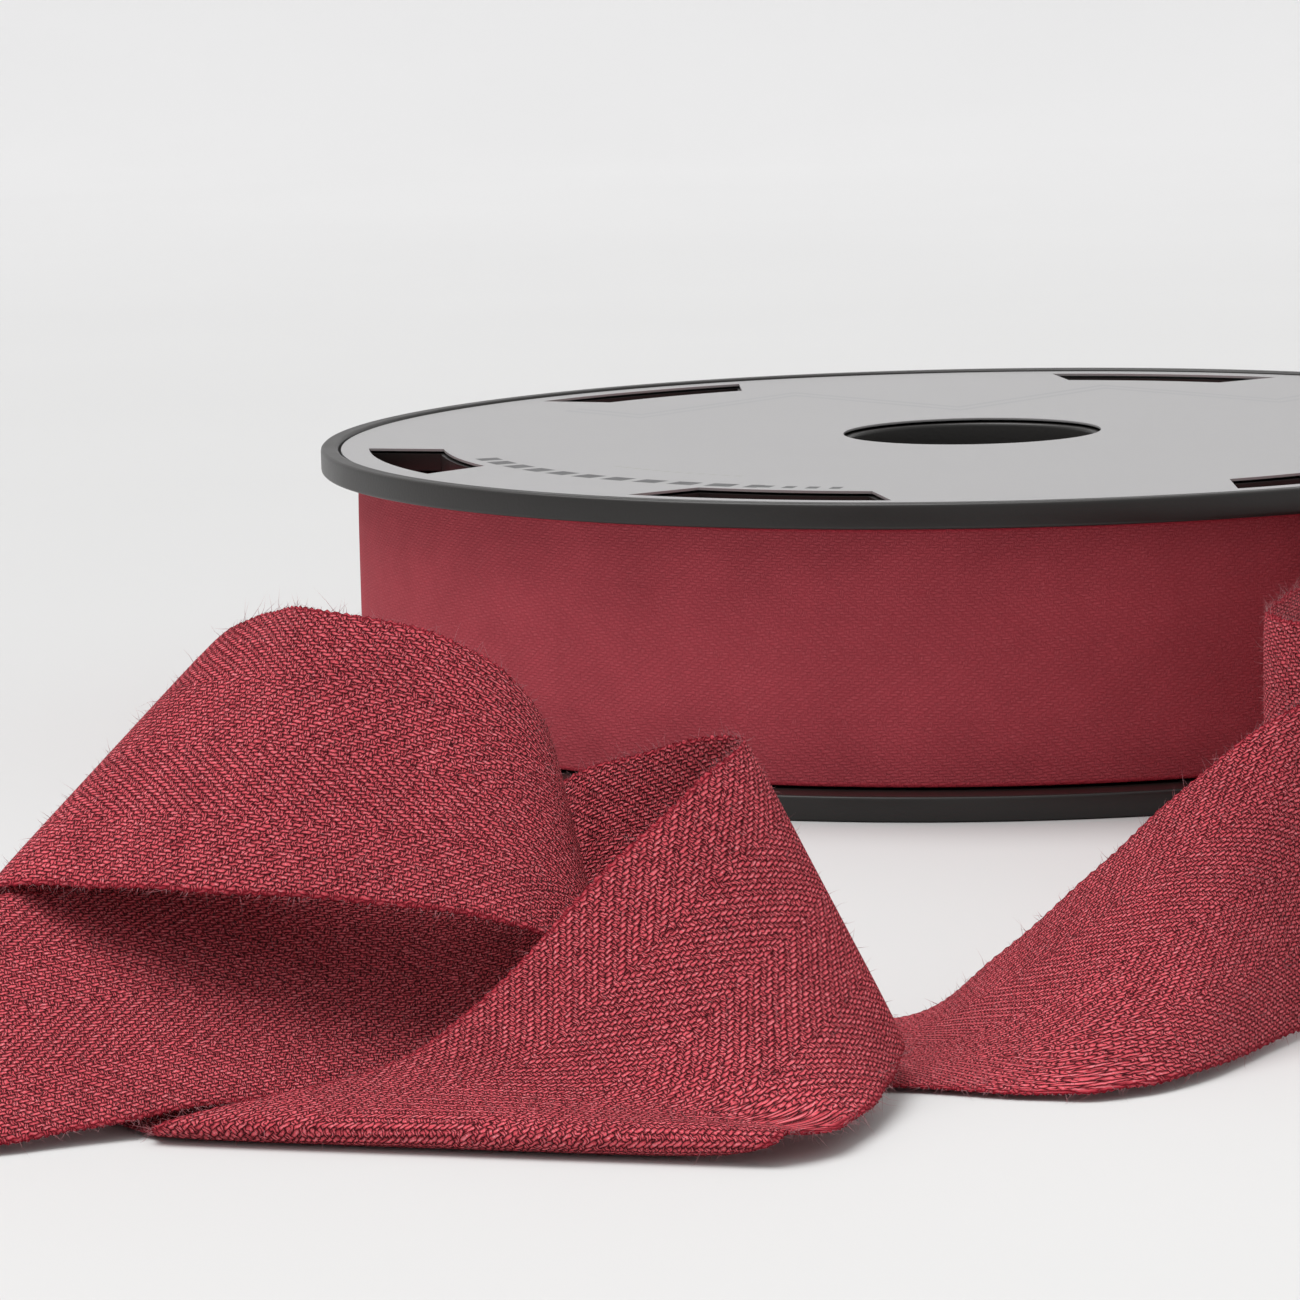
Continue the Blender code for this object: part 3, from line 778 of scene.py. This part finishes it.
def make_reel(plastic, card):
    """Both flanges, the hub tube between them, and the card label in the upper one's recess."""
    below = rounded(flange_profile(), FLANGE_CORNER)
    above = [(radius, REEL_HEIGHT - height) for radius, height in below[::-1]]
    lower = with_windows(turned("lower_flange", below, REEL_STEPS, plastic))
    upper = with_windows(turned("upper_flange", above, REEL_STEPS, plastic))
    tube = ring_outline(HUB_RADIUS, HUB_RADIUS - HUB_WALL, TAPE_TOP, TAPE_BOTTOM)
    hub = turned("hub", rounded(tube, HUB_CORNER), HUB_STEPS, plastic)
    outer, inner = REEL_RADIUS - RIM_WIDTH - LABEL_RIM_GAP, BORE_RADIUS + LABEL_BORE_GAP
    flat = rounded(ring_outline(outer, inner, LABEL_TOP, LABEL_TOP - LABEL_THICKNESS), LABEL_CORNER, 3)
    label = with_windows(turned("card_label", flat, REEL_STEPS, card), margin=LABEL_WINDOW_GAP)
    return lower, upper, hub, label


# ---------------------------------------------------------------- the object

# The loose tape's cloth: its darkest colour is painted shade in the pits, and its palest is a painted
# highlight on the yarns.
loose_cotton = cotton(
    "loose_cotton",
    painted_pit_shade=colour(0.042, 0.0015, 0.004),
    yarn=colour(0.86, 0.105, 0.138),
    painted_glint=colour(0.98, 0.46, 0.50),
    depth=0.44 * MM,
    contrast=1.0,
)
# The coil's cloth: a flatter copy of the loose cloth, with a faint weave and less painted shade in its pits.
# Its brightness is partly painted light, raised to make up for the light that the coil's upright side misses.
wound_cotton = cotton(
    "wound_cotton",
    painted_pit_shade=colour(0.21, 0.019, 0.029),
    yarn=colour(0.46, 0.069, 0.089),
    painted_glint=colour(0.55, 0.120, 0.141),
    depth=0.08 * MM,
    contrast=0.45,
)
plastic = reel_plastic()

tape, tape_lines, tape_length = make_loose_tape(loose_cotton)
nap, fringe = make_fuzz(tape_lines, fuzz_cotton())
coil = make_coil(wound_cotton)
lower_flange, upper_flange, hub, label = make_reel(plastic, label_card())

loose_nodes = [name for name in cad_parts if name.startswith("tape_")]
for piece in (tape, nap, fringe):
    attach(piece, "loose_tape")
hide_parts(*loose_nodes)

for piece, node, slot in (
    (coil, "wound_tape", "wound_cotton"),
    (lower_flange, "bottom_flange", "reel_plastic"),
    (upper_flange, "top_flange", "reel_plastic"),
    (hub, "hub_tube", "reel_plastic"),
    (label, "top_label", "label_paper"),
):
    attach(piece, "reel")
    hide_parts(node)


# ---------------------------------------------------------------- table, light and camera


def make_table():
    """A pale sweep: flat in front, and rising behind in a quarter circle to a wall. It is nearly white and
    faintly mottled. Its changes of tone are painted light: painted shade makes the floor a little greyer
    behind the object, and the wall, which the lamp lights least, is painted palest."""
    finish = Finish("pale_sweep", 0.7, Specular_IOR_Level=0.2)
    place = finish.place()
    mottle = finish.noise(place, scale=6.0, detail=3.0)
    _, back, _ = finish.parts(place)
    near, far, wall = colour(0.682, 0.679, 0.675), colour(0.636, 0.634, 0.632), colour(0.816, 0.813, 0.816)
    # painted light: painted shade on the floor behind the object, and a painted brightening of the wall,
    # which the lamp reaches least
    floor = finish.mixed(back.between(-0.22, 0.10), near, far)
    pale = finish.mixed(back.between(0.3, 1.8), floor, wall)
    finish.set("Base Color", finish.darkened(mottle * 0.04 + 0.98, pale))
    front, bend_starts, radius, wall_top, half_width = -2.5, 1.3, 0.9, 4.0, 3.5
    bend = np.linspace(0, np.pi / 2, 24)
    y = np.concatenate([[front], bend_starts + radius * np.sin(bend), [bend_starts + radius]])
    z = np.concatenate([[0.0], radius * (1 - np.cos(bend)), [wall_top]])
    points = [(x, *line) for line in zip(y, z) for x in (-half_width, half_width)]
    return mesh_piece("table_sweep", points, grid_faces(len(y), 2), material=finish.material)


def sun_light(name, towards_light, spread, strength):
    """Even light from one direction, as from a large diffuser: spread is its width in degrees."""
    light = bpy.data.lights.new(name, "SUN")
    light.angle, light.energy = math.radians(spread), strength
    x, y, z = towards_light
    turn = (math.atan2(math.hypot(x, y), z), 0.0, math.atan2(x, -y))
    in_scene(name, light).rotation_euler = turn


def make_camera():
    """A long lens a little above the table, looking along +Y."""
    camera = bpy.data.cameras.new("camera")
    camera.lens, camera.sensor_width = CAMERA_LENS, CAMERA_SENSOR
    camera.clip_start, camera.clip_end = 0.01, 20.0
    eye = in_scene("camera", camera)
    eye.location = (SPINDLE[0] + CAMERA_PLACE[0], SPINDLE[1] + CAMERA_PLACE[1], CAMERA_PLACE[2])
    eye.rotation_mode = "ZYX"  # the roll first, about the line of sight
    eye.rotation_euler = (math.pi / 2 - CAMERA_DOWN, 0.0, CAMERA_ROLL)
    bpy.context.scene.camera = eye


make_table()
sun_light("soft_sun", towards_light=(-0.30, 0.10, 1.0), spread=50, strength=2.35)
make_camera()

world = bpy.data.worlds.new("studio")
world.use_nodes = True
world.node_tree.nodes["Background"].inputs["Color"].default_value = (1.0, 1.0, 1.0, 1.0)
world.node_tree.nodes["Background"].inputs["Strength"].default_value = 0.60
bpy.context.scene.world = world
bpy.context.scene.view_settings.view_transform = "Standard"
